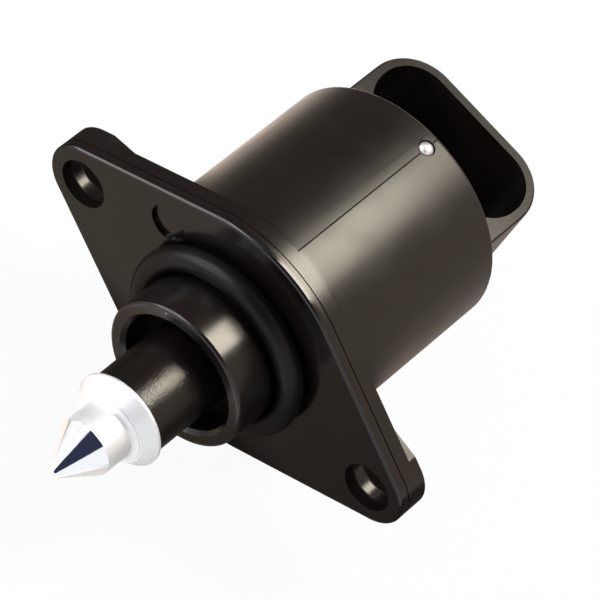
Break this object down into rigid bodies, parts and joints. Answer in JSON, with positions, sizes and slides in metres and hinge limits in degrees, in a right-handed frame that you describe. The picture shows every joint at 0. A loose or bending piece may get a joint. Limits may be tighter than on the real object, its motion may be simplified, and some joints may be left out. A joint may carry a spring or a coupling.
{
  "type": "idle air control valve",
  "caption": "Idle air control valve: a stepper motor in a diamond-flanged moulded housing moves a tapered pintle, with a spigot, a seal ring and a plug socket.",
  "frame": {"origin": "centre of the flange's sealing face, on the valve axis and midway between the two flange holes", "axes": "-Y along the valve axis towards the pintle, +X along the line of the flange holes, +Z towards the mouth of the plug socket"},
  "size_m": [0.0606, 0.077, 0.037],
  "materials": {
    "moulded_plastic": "matte",
    "seal_rubber": "satin",
    "plunger_plastic": "gloss",
    "turned_aluminium": "polished",
    "bright_steel": "polished",
    "sheet_steel": "satin",
    "guide_plastic": "satin",
    "hub_plastic": "satin",
    "magnet": "matte",
    "cage_polymer": "satin",
    "bronze": "satin",
    "bobbin_plastic": "matte",
    "enamelled_copper": "gloss",
    "brass": "polished"
  },
  "bodies": {
    "valve_body": {"housing": "moulded_plastic", "rear_cover": "moulded_plastic", "seal_ring": "seal_rubber", "lock_ball": "bright_steel", "guide_bush": "guide_plastic", "bearing_outer_ring": "bright_steel", "bearing_cage": "cage_polymer", "bearing_balls": "bright_steel", "rear_bush": "bronze", "wave_washer": "bright_steel", "stator_cup_front": "sheet_steel", "stator_plate_front": "sheet_steel", "stator_plate_rear": "sheet_steel", "stator_cup_rear": "sheet_steel", "bobbin_front": "bobbin_plastic", "bobbin_rear": "bobbin_plastic", "coil_front": "enamelled_copper", "coil_rear": "enamelled_copper", "terminal_1": "brass", "terminal_2": "brass", "terminal_3": "brass", "terminal_4": "brass"},
    "rotor": {"rotor_hub": "hub_plastic", "rotor_magnet": "magnet", "bearing_inner_ring": "bright_steel"},
    "pintle_unit": {"plunger": "plunger_plastic", "lead_screw": "bright_steel", "pintle": "turned_aluminium"}
  },
  "joints": [
    {"name": "rotor_spin", "type": "hinge", "parent": "valve_body", "child": "rotor", "pos_m": [0, 0.02, 0], "axis": [0, 1, 0], "range_deg": [-2880, 540]},
    {"name": "pintle_slide", "type": "slide", "parent": "valve_body", "child": "pintle_unit", "axis": [0, -1, 0], "range_m": [-0.008, 0.0015]}
  ],
  "couplings": [
    {"joint": "pintle_slide", "follows": "rotor_spin", "m_per_rad": 0.00015915}
  ]
}
